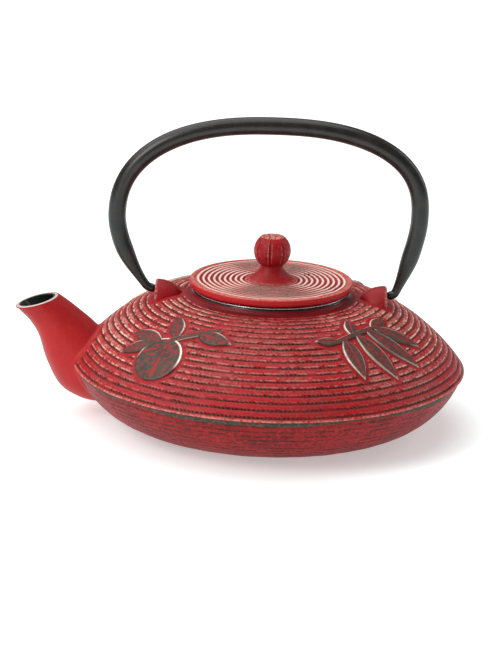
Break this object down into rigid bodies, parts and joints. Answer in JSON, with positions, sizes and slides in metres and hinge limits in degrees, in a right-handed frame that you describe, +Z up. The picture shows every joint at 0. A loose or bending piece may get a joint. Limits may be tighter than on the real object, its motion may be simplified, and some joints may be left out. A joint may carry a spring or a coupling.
{
  "type": "cast iron teapot",
  "caption": "Low round cast iron teapot with a ribbed shoulder, short spout, upright bail handle, lift-off knobbed lid and a steel mesh infuser.",
  "frame": {"origin": "centre of the flat base, on the surface that the pot stands on", "axes": "+Z up; the spout points along -X and the handle's pins lie along X; +Y is the back"},
  "size_m": [0.1897, 0.165, 0.1294],
  "materials": {
    "red_iron": "worn red lacquer over ribbed cast iron",
    "lid_iron": "worn red lacquer over turned cast iron ridges",
    "worn_bronze": "dark bronze worn through the lacquer, bright on the edges",
    "black_enamel": "glossy black vitreous enamel",
    "black_iron": "satin black forged bar",
    "infuser_steel": "bright drawn stainless sheet",
    "infuser_mesh": "fine woven stainless mesh",
    "rivet_steel": "satin steel"
  },
  "bodies": {
    "pot": {"pot_floor": "red_iron", "pot_bowl": "red_iron", "pot_shell": "red_iron", "pot_collar": "red_iron", "enamel_lining": "black_enamel", "spout": "red_iron", "spout_side_lug": "red_iron", "far_side_lug": "red_iron", "front_fruit_relief": "worn_bronze", "front_leaf_relief": "worn_bronze", "back_fruit_relief": "worn_bronze", "back_leaf_relief": "worn_bronze"},
    "handle": {"bail_handle": "black_iron"},
    "infuser": {"infuser_rim": "infuser_steel", "infuser_wall": "infuser_mesh", "infuser_seam": "infuser_steel", "infuser_base_ring": "infuser_steel", "infuser_base_mesh": "infuser_mesh"},
    "lid": {"lid_plate": "lid_iron", "lid_knob": "lid_iron", "knob_rivet": "rivet_steel", "knob_washer": "rivet_steel"}
  },
  "joints": [
    {"name": "handle_swing", "type": "hinge", "parent": "pot", "child": "handle", "pos_m": [0, 0, 0.055], "axis": [1, 0, 0], "range_deg": [-98, 98]},
    {"name": "infuser_lift", "type": "slide", "parent": "pot", "child": "infuser", "axis": [0, 0, 1], "range_m": [0, 0.038]},
    {"name": "lid_lift", "type": "slide", "parent": "infuser", "child": "lid", "axis": [0, 0, 1], "range_m": [0, 0.038]}
  ]
}
